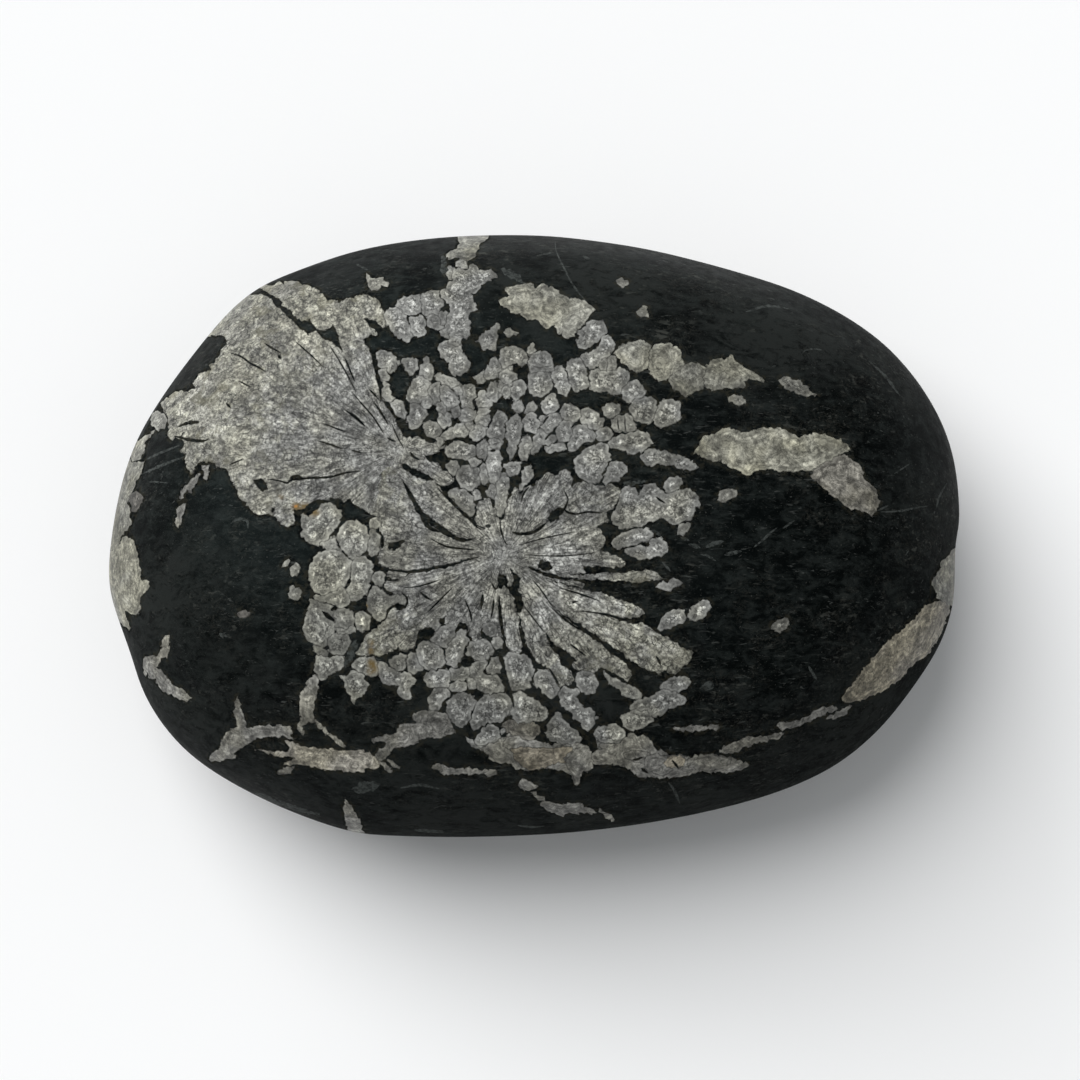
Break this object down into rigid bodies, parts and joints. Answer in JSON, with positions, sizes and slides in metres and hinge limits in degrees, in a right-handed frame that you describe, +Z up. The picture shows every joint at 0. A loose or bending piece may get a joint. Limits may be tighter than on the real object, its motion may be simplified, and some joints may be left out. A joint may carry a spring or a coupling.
{
  "type": "chrysanthemum stone",
  "caption": "Flattened, polished pebble of black limestone with flush grey crystal flowers, lying on a flat worn into its underside.",
  "frame": {"origin": "under the middle of the stone's length and width, on the flat that it rests on", "axes": "+X along the stone's length, towards its blunt right end; +Y across it; +Z up, out of the flowered face"},
  "size_m": [0.125, 0.089, 0.0442],
  "materials": {
    "stone": "satin-polished black limestone with pale grey and cream crystal flowers polished flush"
  },
  "bodies": {
    "root": {"chrysanthemum_stone": "stone"}
  },
  "joints": []
}
